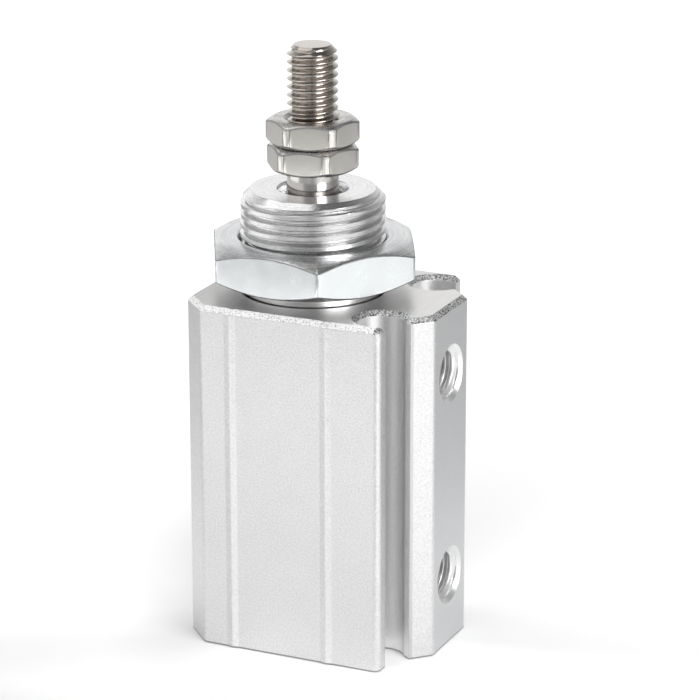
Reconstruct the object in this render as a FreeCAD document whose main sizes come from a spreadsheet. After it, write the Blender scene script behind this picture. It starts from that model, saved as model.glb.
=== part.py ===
import FreeCAD, Part
import math
import os

import PartDesign
import Sketcher

# Compact double-acting pneumatic cylinder with a threaded nose, drawn with its rod pulled in.
# The origin is the middle of the rear face, on the rod axis. +Z runs out along the rod,
# +X points at the face with the two ports, and -Y is the front.

os.makedirs("parts", exist_ok=True)
doc = FreeCAD.newDocument("cylinder")

# Driving dimensions in millimetres, with angles in degrees
sizes = {
    # extruded barrel, measured from the rod axis
    "body_depth": 20.0,
    "left_reach": 10.0,
    "right_reach": 14.5,
    "left_chamfer": 2.8,
    "right_chamfer": 6.0,
    "end_chamfer": 0.5,
    "ridge_offset": 4.1,
    "ridge_pitch": 10.0,
    "ridge_width": 1.3,
    "ridge_height": 0.18,
    # round sensor slot in each corner beside the port face; its angles are from +X, either way
    "slot_setback": 4.4,
    "slot_inset": 3.5,
    "slot_dia": 4.6,
    "lip_angle": 55.6,
    "lip_round": 0.65,
    "flank_angle": 32.0,
    "beak_run": 0.7,
    "lip_land": 0.2,
    # bore and its ends
    "bore_dia": 16.0,
    "stroke": 10.0,
    "top_plate": 1.5,
    "nose_hole_dia": 14.1,
    "cover_bore_dia": 17.2,
    "cover_bore_lead": 0.3,
    # ports
    "port_drill_dia": 4.2,
    "port_depth": 4.5,
    "port_mouth_dia": 5.8,
    "port_mouth_angle": 90.0,
    "passage_dia": 2.0,
    "rear_port_inset": 7.1,
    "front_port_inset": 6.8,
    # circlip and rear cover
    "ring_setback": 0.8,
    "ring_thick": 1.0,
    "ring_width": 1.3,
    "ring_groove_depth": 0.4,
    "ring_gap": 5.2,
    "ring_lug_dia": 2.8,
    "ring_eye_dia": 1.3,
    "rear_cover_thick": 3.4,
    "cover_chamfer": 0.3,
    "cover_cord": 1.0,
    "cord_groove_ratio": 1.4,
    # front cover: flange in the bore, neck in the end wall, threaded nose outside
    "flange_thick": 3.8,
    "flange_cord": 1.1,
    "cord_land_share": 0.5,
    "nose_dia": 14.0,
    "nose_length": 10.0,
    "nose_chamfer": 0.95,
    "nose_pitch": 1.0,
    "relief_dia": 13.7,
    "relief_length": 1.6,
    "nose_mouth_dia": 6.8,
    "nose_mouth_depth": 2.6,
    "rod_seal_dia": 8.2,
    "rod_seal_length": 2.2,
    "rod_seal_lip": 0.28,
    "rod_seal_valley": 1.1,
    "gland_lip_dia": 5.6,
    "gland_lip_length": 0.7,
    "bush_dia": 7.6,
    "bush_length": 9.0,
    # nuts
    "nut_flats": 19.0,
    "nut_face_dia": 18.7,
    "nut_thick": 4.0,
    "nut_standoff": 1.35,
    "nut_turn": -2.6,
    "rod_nut_flats": 8.0,
    "rod_nut_face_dia": 7.6,
    "rod_nut_thick": 2.5,
    "rod_nut_standoff": 1.9,
    "rod_nut_space": 0.05,
    "lower_nut_turn": 11.5,
    "upper_nut_turn": 20.3,
    "nut_countersink": 0.3,
    # rod
    "rod_dia": 5.0,
    "rod_beyond": 14.0,
    "rod_thread_dia": 4.9,
    "rod_thread_length": 12.0,
    "rod_tip_chamfer": 0.7,
    "rod_pitch": 0.8,
    # metric thread form, as shares of its pitch
    "thread_depth_share": 0.61,
    "thread_crest_share": 0.125,
    "thread_root_share": 0.25,
    "shank_dia": 4.0,
    "shank_chamfer": 0.4,
    # piston, from its rear face forward
    "piston_step": 2.4,
    "piston_step_dia": 12.4,
    "rear_land": 0.8,
    "seal_width": 1.8,
    "seal_depth": 2.05,
    "seal_valley": 0.45,
    "seal_lip_run": 0.6,
    "middle_land": 0.7,
    "magnet_thick": 1.8,
    "magnet_dia": 15.2,
    "spigot_dia": 9.2,
    "front_land": 2.4,
    "wear_width": 1.4,
    "wear_depth": 1.0,
    "shank_cord": 1.0,
    "piston_nut_flats": 7.0,
    "piston_nut_face_dia": 6.6,
    "piston_nut_thick": 2.2,
    "piston_nut_recess": 2.3,
    "piston_nut_recess_dia": 8.8,
    # cushion rings in the covers
    "bumper_inner_dia": 9.4,
    "bumper_width": 1.3,
    "bumper_seat": 0.6,
    "bumper_stand": 0.8,
    # clearances
    "running_fit": 0.04,
    "seal_fit": 0.02,
    "thread_slack": 0.05,
    "static_fit": 0.05,
    "end_gap": 0.05,
}

sheet = doc.addObject("Spreadsheet::Sheet", "dims")
for row, (alias, value) in enumerate(sizes.items(), start=1):
    sheet.set("A%d" % row, alias)
    sheet.set("B%d" % row, str(value))
    sheet.setAlias("B%d" % row, alias)
doc.recompute()


coincident = 1e-6  # levels closer than this are the same level


def now(expression):
    """The value of an expression over the sheet's cells, as a plain number."""
    return float(sheet.evalExpression(expression))


def half(alias):
    return "dims.%s / 2" % alias


# Levels along the rod axis and the radii that several pieces share, as expressions over the cells
cover_rear = "(dims.ring_setback + dims.ring_thick)"
cover_front = cover_rear + " + dims.rear_cover_thick"
piston_rear_face = cover_front + " + dims.bumper_stand + dims.end_gap"
seal_rear = piston_rear_face + " + dims.piston_step + dims.rear_land"
seal_front = seal_rear + " + dims.seal_width"
magnet_rear = seal_front + " + dims.middle_land"
magnet_front = magnet_rear + " + dims.magnet_thick"
land_front = magnet_front + " + dims.front_land"
piston_front_face = land_front + " + dims.piston_step"
flange_rear = piston_front_face + " + dims.stroke + dims.end_gap + dims.bumper_stand"
flange_front = flange_rear + " + dims.flange_thick"
body_top = flange_front + " + dims.top_plate"
nose_top = body_top + " + dims.nose_length"
seal_pocket_top = nose_top + " - dims.nose_mouth_depth"
seal_pocket_bottom = seal_pocket_top + " - dims.rod_seal_length"
bush_top = seal_pocket_bottom + " - dims.gland_lip_length"
lower_nut_base = nose_top + " + dims.rod_nut_standoff"
upper_nut_base = lower_nut_base + " + dims.rod_nut_thick + dims.rod_nut_space"
rod_tip = nose_top + " + dims.rod_beyond"

bore = half("bore_dia")
piston_land = bore + " - dims.running_fit"
seal_floor = bore + " - dims.seal_depth"
wear_floor = bore + " - dims.wear_depth"
cover_bore = half("cover_bore_dia")
cover_rim = cover_bore + " - dims.static_fit"
flange_rim = bore + " - dims.static_fit"
rod_radius = half("rod_dia")
rod_thread = half("rod_thread_dia")
shank = half("shank_dia")
shank_hole = shank + " + dims.seal_fit"
slot_x = "(dims.right_reach - dims.slot_setback)"
slot_y = "(dims.slot_inset - dims.body_depth / 2)"
slot_radius = half("slot_dia")
lip_reach = slot_x + " + " + slot_radius + " * cos(dims.lip_angle)"
flank_reach = slot_x + " + " + slot_radius + " * cos(dims.flank_angle)"
beak_reach = flank_reach + " + dims.beak_run"
bumper_inner = half("bumper_inner_dia")
bumper_outer = bumper_inner + " + dims.bumper_width"
spigot = half("spigot_dia")


def new_body(label):
    body = doc.addObject("PartDesign::Body", label)
    body.Label = label
    return body


def origin_plane(body, role):
    return next(part for part in body.Origin.OriginFeatures if part.Role == role)


def new_sketch(body, name, role):
    sketch = body.newObject("Sketcher::SketchObject", name)
    sketch.AttachmentSupport = [(origin_plane(body, role), "")]
    sketch.MapMode = "FlatFace"
    return sketch


def hold(sketch, kind, geometry, end, expression):
    """Binds one coordinate of a point to an expression, measured from the sketch's origin."""
    value = now(expression)
    if abs(value) < coincident:
        axis = -2 if kind == "DistanceX" else -1
        sketch.addConstraint(Sketcher.Constraint("PointOnObject", geometry, end, axis))
        return
    if value > 0:
        rule = Sketcher.Constraint(kind, -1, 1, geometry, end, value)
    else:
        rule = Sketcher.Constraint(kind, geometry, end, -1, 1, -value)
        expression = "-(%s)" % expression
    index = sketch.addConstraint(rule)
    sketch.setExpression("Constraints[%d]" % index, expression)


def hold_point(sketch, geometry, end, across, up):
    hold(sketch, "DistanceX", geometry, end, across)
    hold(sketch, "DistanceY", geometry, end, up)


def hold_radius(sketch, geometry, expression):
    index = sketch.addConstraint(Sketcher.Constraint("Radius", geometry, now(expression)))
    sketch.setExpression("Constraints[%d]" % index, expression)


def add_outline(sketch, corners):
    """Adds a closed outline of straight lines through corners, each a pair of expressions."""
    first = sketch.GeometryCount
    count = len(corners)
    places = [FreeCAD.Vector(now(across), now(up), 0) for across, up in corners]
    for number in range(count):
        sketch.addGeometry(Part.LineSegment(places[number], places[(number + 1) % count]))
    for number in range(count):
        following = first + (number + 1) % count
        sketch.addConstraint(Sketcher.Constraint("Coincident", first + number, 2, following, 1))
    for number, (across, up) in enumerate(corners):
        hold_point(sketch, first + number, 1, across, up)


def add_circle(sketch, across, up, radius):
    centre = FreeCAD.Vector(now(across), now(up), 0)
    circle = Part.Circle(centre, FreeCAD.Vector(0, 0, 1), now(radius))
    number = sketch.addGeometry(circle)
    hold_point(sketch, number, 3, across, up)
    hold_radius(sketch, number, radius)


def spin(body, kind, name, *outlines):
    """Revolves outlines of (radius, level) pairs about the body's own Z axis."""
    sketch = new_sketch(body, name + "_profile", "XZ_Plane")
    for corners in outlines:
        add_outline(sketch, corners)
    feature = body.newObject("PartDesign::" + kind, name)
    feature.Profile = sketch
    feature.ReferenceAxis = (sketch, ["V_Axis"])
    feature.Angle = 360
    return feature


def turned(label, corners):
    body = new_body(label)
    spin(body, "Revolution", label + "_turned", corners)
    return body


def pad(body, name, sketch, length):
    feature = body.newObject("PartDesign::Pad", name)
    feature.Profile = sketch
    feature.setExpression("Length", length)
    return feature


def pocket(body, name, sketch, length):
    feature = body.newObject("PartDesign::Pocket", name)
    feature.Profile = sketch
    feature.setExpression("Length", length)
    return feature


def cut_thread(body, name, crest, start, length, pitch):
    """One V groove of the thread and its repeats along the axis, a pitch apart."""
    middle = start + " + " + pitch + " / 2"
    depth = pitch + " * dims.thread_depth_share"
    root = pitch + " * dims.thread_root_share / 2"
    mouth = pitch + " * (1 - dims.thread_crest_share) / 2"
    flare = "(%s - %s) / 4" % (mouth, root)
    groove = spin(body, "Groove", name + "_groove", [
        (crest + " - " + depth, middle + " - " + root),
        (crest + " + %s / 4" % depth, middle + " - %s - %s" % (mouth, flare)),
        (crest + " + %s / 4" % depth, middle + " + %s + %s" % (mouth, flare)),
        (crest + " - " + depth, middle + " + " + root),
    ])
    doc.recompute()
    turns = body.newObject("PartDesign::LinearPattern", name + "_turns")
    turns.Originals = [groove]
    turns.Direction = (groove.Profile[0], ["V_Axis"])
    turns.Occurrences = max(2, math.floor(now(length) / now(pitch)))
    turns.setExpression("Length", "%s * %d" % (pitch, turns.Occurrences - 1))
    body.Tip = turns
    return body


def cord_ring(label, inner, cord, level):
    """O-ring squeezed in its groove: flat where it bears on the two walls, bulged between them."""
    middle = inner + " + %s / 2" % cord
    outer = inner + " + " + cord
    land = "%s * dims.cord_land_share / 2" % cord
    return turned(label, [
        (inner, level + " - " + land),
        (middle, level + " - %s / 2" % cord),
        (outer, level + " - " + land),
        (outer, level + " + " + land),
        (middle, level + " + %s / 2" % cord),
        (inner, level + " + " + land),
    ])


def barrel_outline(body):
    """Front half of the extrusion's section, closed along the line through the port axes."""
    sketch = new_sketch(body, "half_section", "XY_Plane")
    front = "-" + half("body_depth")
    shoulder = front + " + dims.right_chamfer"
    chain = [("-dims.left_reach", "0"), ("-dims.left_reach", front + " + dims.left_chamfer")]
    chain.append(("-dims.left_reach + dims.left_chamfer", front))
    for ridge in range(2):
        middle = "-dims.ridge_offset + %d * dims.ridge_pitch" % ridge
        chain.append((middle + " - dims.ridge_width / 2", front))
        chain.append((middle, front + " - dims.ridge_height"))
        chain.append((middle + " + dims.ridge_width / 2", front))
    lip_turn = lip_reach + " - dims.lip_round"
    chain.append((lip_turn, front))
    beak = (beak_reach, shoulder + " - dims.right_reach + " + beak_reach)
    outer = [beak, ("dims.right_reach", shoulder), ("dims.right_reach", "0")]

    def add_lines(corners):
        places = [FreeCAD.Vector(now(across), now(up), 0) for across, up in corners]
        numbers = [sketch.addGeometry(Part.LineSegment(*pair)) for pair in zip(places, places[1:])]
        for before, after in zip(numbers, numbers[1:]):
            sketch.addConstraint(Sketcher.Constraint("Coincident", before, 2, after, 1))
        return numbers

    left_lines = add_lines(chain)
    right_lines = add_lines(outer + [chain[0]])
    for number, corner in zip(left_lines, chain):
        hold_point(sketch, number, 1, *corner)
    hold_point(sketch, left_lines[-1], 2, *chain[-1])
    for number, corner in zip(right_lines, outer):
        hold_point(sketch, number, 1, *corner)
    sketch.addConstraint(Sketcher.Constraint("Coincident", right_lines[-1], 2, left_lines[0], 1))

    up_axis = FreeCAD.Vector(0, 0, 1)
    lip_centre = FreeCAD.Vector(now(lip_turn), now(front + " + dims.lip_round"), 0)
    lip_circle = Part.Circle(lip_centre, up_axis, now("dims.lip_round"))
    lip = sketch.addGeometry(Part.ArcOfCircle(lip_circle, -math.pi / 2, 0))
    sketch.addConstraint(Sketcher.Constraint("Coincident", lip, 1, left_lines[-1], 2))
    hold_point(sketch, lip, 2, lip_reach, front + " + dims.lip_round")
    hold_radius(sketch, lip, "dims.lip_round")

    lip_angle = math.radians(now("dims.lip_angle"))
    flank_angle = math.radians(now("dims.flank_angle"))
    slot_circle = Part.Circle(FreeCAD.Vector(now(slot_x), now(slot_y), 0), up_axis, now(slot_radius))
    slot = sketch.addGeometry(Part.ArcOfCircle(slot_circle, flank_angle, 2 * math.pi - lip_angle))
    hold_point(sketch, slot, 3, slot_x, slot_y)
    hold_radius(sketch, slot, slot_radius)
    hold(sketch, "DistanceX", slot, 1, flank_reach)
    hold(sketch, "DistanceX", slot, 2, lip_reach)

    ends = sketch.Geometry[slot]
    inner_lip = sketch.addGeometry(Part.LineSegment(sketch.Geometry[lip].EndPoint, ends.EndPoint))
    sketch.addConstraint(Sketcher.Constraint("Coincident", inner_lip, 1, lip, 2))
    sketch.addConstraint(Sketcher.Constraint("Coincident", inner_lip, 2, slot, 2))
    beak_place = sketch.Geometry[right_lines[0]].StartPoint
    flank = sketch.addGeometry(Part.LineSegment(ends.StartPoint, beak_place))
    sketch.addConstraint(Sketcher.Constraint("Coincident", flank, 1, slot, 1))
    sketch.addConstraint(Sketcher.Constraint("Coincident", flank, 2, right_lines[0], 1))
    return sketch


def make_barrel():
    body = new_body("body")
    section = barrel_outline(body)
    front_half = pad(body, "front_half", section, body_top)
    whole = body.newObject("PartDesign::Mirrored", "both_halves")
    whole.Originals = [front_half]
    whole.MirrorPlane = (origin_plane(body, "XZ_Plane"), [""])
    body.Tip = whole
    doc.recompute()

    level = now(body_top)
    top_edges = []
    for number, edge in enumerate(whole.Shape.Edges, start=1):
        if all(abs(corner.Point.z - level) < coincident for corner in edge.Vertexes):
            top_edges.append("Edge%d" % number)
    chamfer = body.newObject("PartDesign::Chamfer", "end_edge")
    chamfer.Base = (whole, top_edges)
    lip_wall = "(dims.slot_inset - dims.slot_dia / 2)"
    chamfer.setExpression("Size", "min(dims.end_chamfer; (%s - dims.lip_land) / 2)" % lip_wall)

    groove_floor = cover_bore + " + dims.ring_groove_depth"
    groove_rear = "dims.ring_setback - dims.end_gap"
    groove_front = cover_rear + " + dims.end_gap"
    hollow = [
        ("0", "0"),
        (cover_bore + " + dims.cover_bore_lead", "0"),
        (cover_bore, "dims.cover_bore_lead"),
        (cover_bore, groove_rear),
        (groove_floor, groove_rear),
        (groove_floor, groove_front),
        (cover_bore, groove_front),
        (cover_bore, cover_front),
        (bore, cover_front),
        (bore, flange_front),
        (half("nose_hole_dia"), flange_front),
        (half("nose_hole_dia"), body_top),
        ("0", body_top),
    ]
    spin(body, "Groove", "bored_out", hollow)
    doc.recompute()

    port_levels = ["dims.rear_port_inset", body_top + " - dims.front_port_inset"]
    mouths = new_sketch(body, "port_mouths", "YZ_Plane")
    passages = new_sketch(body, "port_passages", "YZ_Plane")
    for port_level in port_levels:
        add_circle(mouths, "0", port_level, half("port_drill_dia"))
        add_circle(passages, "0", port_level, half("passage_dia"))
    for sketch in (mouths, passages):
        sketch.setExpression("AttachmentOffset.Base.z", "dims.right_reach")
    doc.recompute()
    ports = body.newObject("PartDesign::Hole", "ports")
    ports.Profile = mouths
    doc.recompute()
    ports.DepthType = "Dimension"
    ports.DrillPoint = "Flat"
    ports.HoleCutType = "Countersink"
    ports.setExpression("Diameter", "dims.port_drill_dia")
    ports.setExpression("Depth", "dims.port_depth")
    ports.setExpression("HoleCutDiameter", "dims.port_mouth_dia")
    ports.setExpression("HoleCutCountersinkAngle", "dims.port_mouth_angle")
    doc.recompute()
    pocket(body, "passages", passages, "dims.right_reach - " + bore + " + dims.running_fit")
    return body


def make_front_cover():
    groove_side = flange_rear + " + (dims.flange_thick - dims.cord_groove_ratio * dims.flange_cord) / 2"
    groove_top = groove_side + " + dims.cord_groove_ratio * dims.flange_cord"
    groove_floor = bore + " - dims.flange_cord"
    corners = [
        (half("bush_dia"), flange_rear),
        (bumper_inner, flange_rear),
        (bumper_inner, flange_rear + " + dims.bumper_seat"),
        (bumper_outer, flange_rear + " + dims.bumper_seat"),
        (bumper_outer, flange_rear),
        (flange_rim + " - dims.cover_chamfer", flange_rear),
        (flange_rim, flange_rear + " + dims.cover_chamfer"),
        (flange_rim, groove_side),
        (groove_floor, groove_side),
        (groove_floor, groove_top),
        (flange_rim, groove_top),
        (flange_rim, flange_front),
        (half("relief_dia"), flange_front),
        (half("relief_dia"), body_top + " + dims.relief_length"),
        (half("nose_dia"), body_top + " + dims.relief_length + (dims.nose_dia - dims.relief_dia) / 2"),
        (half("nose_dia"), nose_top + " - dims.nose_chamfer"),
        (half("nose_dia") + " - dims.nose_chamfer", nose_top),
        (half("nose_mouth_dia"), nose_top),
        (half("nose_mouth_dia"), seal_pocket_top),
        (half("rod_seal_dia"), seal_pocket_top),
        (half("rod_seal_dia"), seal_pocket_bottom),
        (half("gland_lip_dia"), seal_pocket_bottom),
        (half("gland_lip_dia"), bush_top),
        (half("bush_dia"), bush_top),
    ]
    cover = turned("front_cover", corners)
    thread_start = body_top + " + dims.relief_length + (dims.nose_dia - dims.relief_dia) / 2"
    thread_length = "(dims.nose_length - dims.relief_length - dims.nose_chamfer)"
    return cut_thread(cover, "nose_thread", half("nose_dia"), thread_start, thread_length, "dims.nose_pitch")


def make_rear_cover():
    groove_side = cover_rear + " + (dims.rear_cover_thick - dims.cord_groove_ratio * dims.cover_cord) / 2"
    groove_top = groove_side + " + dims.cord_groove_ratio * dims.cover_cord"
    groove_floor = cover_bore + " - dims.cover_cord"
    corners = [
        ("0", cover_rear),
        (cover_rim + " - dims.cover_chamfer", cover_rear),
        (cover_rim, cover_rear + " + dims.cover_chamfer"),
        (cover_rim, groove_side),
        (groove_floor, groove_side),
        (groove_floor, groove_top),
        (cover_rim, groove_top),
        (cover_rim, cover_front + " - dims.cover_chamfer"),
        (cover_rim + " - dims.cover_chamfer", cover_front),
        (bumper_outer, cover_front),
        (bumper_outer, cover_front + " - dims.bumper_seat"),
        (bumper_inner, cover_front + " - dims.bumper_seat"),
        (bumper_inner, cover_front),
        ("0", cover_front),
    ]
    return turned("rear_cover", corners)


def make_bumper(label, seat, crown):
    """Square-section cushion ring from the floor of its groove to its crown."""
    return turned(label, [
        (bumper_inner, seat),
        (bumper_outer, seat),
        (bumper_outer, crown),
        (bumper_inner, crown),
    ])


def make_snap_ring():
    body = new_body("rear_snap_ring")
    rim = cover_bore + " + dims.ring_groove_depth - dims.static_fit"
    inner = rim + " - dims.ring_width"
    lug = half("ring_lug_dia")
    hoop = new_sketch(body, "hoop", "XY_Plane")
    add_circle(hoop, "0", "0", rim)
    add_circle(hoop, "0", "0", inner)
    pad(body, "ring_blank", hoop, "dims.ring_thick")
    eye_side = "(dims.ring_gap + dims.ring_lug_dia) / 2"
    eye_reach = "-sqrt((%s - %s)^2 - (%s)^2)" % (rim, lug, eye_side)
    for side, sign in (("front", "-"), ("back", "")):
        lug_sketch = new_sketch(body, side + "_lug_outline", "XY_Plane")
        add_circle(lug_sketch, eye_reach, sign + eye_side, lug)
        pad(body, side + "_lug", lug_sketch, "dims.ring_thick")
    cuts = new_sketch(body, "gap_outline", "XY_Plane")
    add_outline(cuts, [
        ("-(%s) - dims.ring_gap" % rim, "-" + half("ring_gap")),
        ("-(%s) + dims.ring_gap" % inner, "-" + half("ring_gap")),
        ("-(%s) + dims.ring_gap" % inner, half("ring_gap")),
        ("-(%s) - dims.ring_gap" % rim, half("ring_gap")),
    ])
    for sign in ("-", ""):
        add_circle(cuts, eye_reach, sign + eye_side, half("ring_eye_dia"))
    gap = pocket(body, "gap_and_eyes", cuts, "dims.ring_thick")
    gap.Reversed = True
    body.setExpression("Placement.Base.z", "dims.ring_setback")
    return body


def make_nut(label, prefix, thread_dia, base, turn=None):
    """Hexagon nut with both ends chamfered at 30 degrees and a countersunk bore."""
    body = new_body(label)
    flats = "dims.%s_flats" % prefix
    thick = "dims.%s_thick" % prefix
    face = half(prefix + "_face_dia")
    corner = flats + " / sqrt(3)"
    hexagon = new_sketch(body, label + "_hexagon", "XY_Plane")
    add_outline(hexagon, [
        (corner, "0"),
        (corner + " / 2", flats + " / 2"),
        ("-" + corner + " / 2", flats + " / 2"),
        ("-" + corner, "0"),
        ("-" + corner + " / 2", "-" + flats + " / 2"),
        (corner + " / 2", "-" + flats + " / 2"),
    ])
    pad(body, label + "_blank", hexagon, thick)
    clear = corner + " + dims.nut_countersink"
    drop = "(%s - %s) / sqrt(3)" % (clear, face)
    spin(body, "Groove", label + "_chamfers",
         [(face, "0"), (clear, "0"), (clear, drop)],
         [(face, thick), (clear, thick), (clear, thick + " - " + drop)])
    hole = "dims.%s / 2 + dims.thread_slack" % thread_dia
    spin(body, "Groove", label + "_bore", [
        ("0", "0"),
        (hole + " + dims.nut_countersink", "0"),
        (hole, "dims.nut_countersink"),
        (hole, thick + " - dims.nut_countersink"),
        (hole + " + dims.nut_countersink", thick),
        ("0", thick),
    ])
    body.setExpression("Placement.Base.z", base)
    if turn:
        body.setExpression("Placement.Rotation.Angle", turn)
    return body


def make_rod():
    neck = piston_front_face
    thread_start = rod_tip + " - dims.rod_thread_length"
    rod = turned("piston_rod", [
        ("0", piston_rear_face + " + dims.end_gap"),
        (shank + " - dims.shank_chamfer", piston_rear_face + " + dims.end_gap"),
        (shank, piston_rear_face + " + dims.end_gap + dims.shank_chamfer"),
        (shank, neck),
        (rod_radius, neck),
        (rod_radius, thread_start),
        (rod_thread, thread_start),
        (rod_thread, rod_tip + " - dims.rod_tip_chamfer"),
        (rod_thread + " - dims.rod_tip_chamfer", rod_tip),
        ("0", rod_tip),
    ])
    thread_length = "(dims.rod_thread_length - dims.rod_tip_chamfer)"
    return cut_thread(rod, "rod_thread", rod_thread, thread_start, thread_length, "dims.rod_pitch")


def make_piston_rear():
    step = half("piston_step_dia")
    step_top = piston_rear_face + " + dims.piston_step"
    recess = half("piston_nut_recess_dia")
    recess_top = piston_rear_face + " + dims.piston_nut_recess"
    return turned("piston_rear", [
        (recess, piston_rear_face),
        (step, piston_rear_face),
        (step, step_top),
        (piston_land, step_top),
        (piston_land, seal_rear),
        (seal_floor, seal_rear),
        (seal_floor, seal_front),
        (piston_land, seal_front),
        (piston_land, magnet_rear),
        (spigot, magnet_rear),
        (spigot, magnet_front),
        (shank_hole, magnet_front),
        (shank_hole, recess_top),
        (recess, recess_top),
    ])


def make_piston_front():
    step = half("piston_step_dia")
    wear_rear = magnet_front + " + (dims.front_land - dims.wear_width) / 2"
    cord_pocket = shank + " + dims.shank_cord"
    cord_top = magnet_front + " + dims.shank_cord"
    return turned("piston_front", [
        (cord_pocket, magnet_front),
        (piston_land, magnet_front),
        (piston_land, wear_rear),
        (wear_floor, wear_rear),
        (wear_floor, wear_rear + " + dims.wear_width"),
        (piston_land, wear_rear + " + dims.wear_width"),
        (piston_land, land_front),
        (step, land_front),
        (step, piston_front_face),
        (shank_hole, piston_front_face),
        (shank_hole, cord_top),
        (cord_pocket, cord_top),
    ])


def make_piston_seal():
    """Double-acting seal with a lip at each end and a valley between them."""
    inner = seal_floor + " + dims.seal_fit"
    lip = bore + " - dims.seal_fit"
    valley = lip + " - dims.seal_valley"
    rear = seal_rear + " + dims.seal_fit"
    front = seal_front + " - dims.seal_fit"
    return turned("piston_seal", [
        (inner, rear),
        (lip, rear),
        (valley, rear + " + dims.seal_lip_run"),
        (valley, front + " - dims.seal_lip_run"),
        (lip, front),
        (inner, front),
    ])


def make_wear_ring():
    rear = magnet_front + " + (dims.front_land - dims.wear_width) / 2 + dims.seal_fit"
    inner = wear_floor + " + dims.seal_fit"
    outer = bore + " - dims.seal_fit"
    front = rear + " + dims.wear_width - 2 * dims.seal_fit"
    return turned("wear_ring", [(inner, rear), (outer, rear), (outer, front), (inner, front)])


def make_rod_seal():
    """Lip seal that fills its pocket and opens inwards, towards the pressure."""
    outer = half("rod_seal_dia")
    lip = rod_radius + " + dims.seal_fit"
    heel = lip + " + dims.rod_seal_lip"
    groove = "(%s + %s) / 2" % (outer, heel)
    valley = seal_pocket_bottom + " + dims.rod_seal_valley"
    return turned("rod_seal", [
        (lip, seal_pocket_bottom),
        (groove, valley),
        (outer + " - dims.rod_seal_lip", seal_pocket_bottom),
        (outer, seal_pocket_bottom),
        (outer, seal_pocket_top),
        (heel, seal_pocket_top),
        (heel, valley),
    ])


def make_rod_bush():
    inner = rod_radius + " + dims.running_fit"
    bottom = bush_top + " - dims.bush_length"
    outer = half("bush_dia")
    return turned("rod_bush", [(inner, bottom), (outer, bottom), (outer, bush_top), (inner, bush_top)])


def make_magnet_ring():
    inner = spigot + " + dims.seal_fit"
    outer = half("magnet_dia")
    return turned("magnet_ring", [
        (inner, magnet_rear),
        (outer, magnet_rear),
        (outer, magnet_front),
        (inner, magnet_front),
    ])


pieces = [
    make_barrel(),
    make_front_cover(),
    cord_ring("front_cover_o_ring", bore + " - dims.flange_cord", "dims.flange_cord",
              flange_rear + " + dims.flange_thick / 2"),
    make_rod_bush(),
    make_rod_seal(),
    make_nut("mounting_nut", "nut", "nose_dia", body_top + " + dims.nut_standoff", "dims.nut_turn"),
    make_rod(),
    make_nut("rod_nut_lower", "rod_nut", "rod_thread_dia", lower_nut_base, "dims.lower_nut_turn"),
    make_nut("rod_nut_upper", "rod_nut", "rod_thread_dia", upper_nut_base, "dims.upper_nut_turn"),
    make_piston_front(),
    make_piston_rear(),
    make_magnet_ring(),
    make_piston_seal(),
    make_wear_ring(),
    cord_ring("piston_o_ring", shank, "dims.shank_cord", magnet_front + " + dims.shank_cord / 2"),
    make_nut("piston_nut", "piston_nut", "shank_dia",
             piston_rear_face + " + dims.piston_nut_recess - dims.piston_nut_thick"),
    make_bumper("front_bumper", flange_rear + " + dims.bumper_seat", flange_rear + " - dims.bumper_stand"),
    make_bumper("rear_bumper", cover_front + " - dims.bumper_seat", cover_front + " + dims.bumper_stand"),
    make_rear_cover(),
    cord_ring("rear_cover_o_ring", cover_bore + " - dims.cover_cord", "dims.cover_cord",
              cover_rear + " + dims.rear_cover_thick / 2"),
    make_snap_ring(),
]
doc.recompute()

failed = [item.Label for item in doc.Objects if {"Invalid", "Error"} & set(item.State)]
if failed:
    raise RuntimeError("features that failed: " + ", ".join(failed))
for piece in pieces:
    if piece.Shape.isNull() or not piece.Shape.isValid() or len(piece.Shape.Solids) != 1:
        raise RuntimeError("not one valid solid: " + piece.Label)
for piece in pieces:
    piece.Shape.exportStep("parts/%s.step" % piece.Label)
    box = piece.Shape.BoundBox
    print("%-20s volume %9.2f  z %6.2f to %6.2f" % (piece.Label, piece.Shape.Volume, box.ZMin, box.ZMax))
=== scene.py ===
from math import atan2, cos, hypot, pi, radians, sin, sqrt

import bmesh
import bpy
from mathutils import Matrix, Vector
from mathutils.geometry import tessellate_polygon


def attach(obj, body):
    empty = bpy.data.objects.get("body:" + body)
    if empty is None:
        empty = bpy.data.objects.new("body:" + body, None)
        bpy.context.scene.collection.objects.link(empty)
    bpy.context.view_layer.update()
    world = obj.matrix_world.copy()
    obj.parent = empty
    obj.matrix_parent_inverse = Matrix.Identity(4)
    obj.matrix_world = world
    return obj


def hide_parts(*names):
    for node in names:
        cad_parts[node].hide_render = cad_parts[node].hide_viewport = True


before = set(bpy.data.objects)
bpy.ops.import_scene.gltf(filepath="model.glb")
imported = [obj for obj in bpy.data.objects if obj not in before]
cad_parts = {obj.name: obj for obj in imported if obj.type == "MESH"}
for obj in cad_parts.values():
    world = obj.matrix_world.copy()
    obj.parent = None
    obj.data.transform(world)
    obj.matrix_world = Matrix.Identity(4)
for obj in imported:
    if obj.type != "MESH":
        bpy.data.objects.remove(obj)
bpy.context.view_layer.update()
millimetre = 0.001
print("frame loaded:", len(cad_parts), "nodes")


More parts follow.
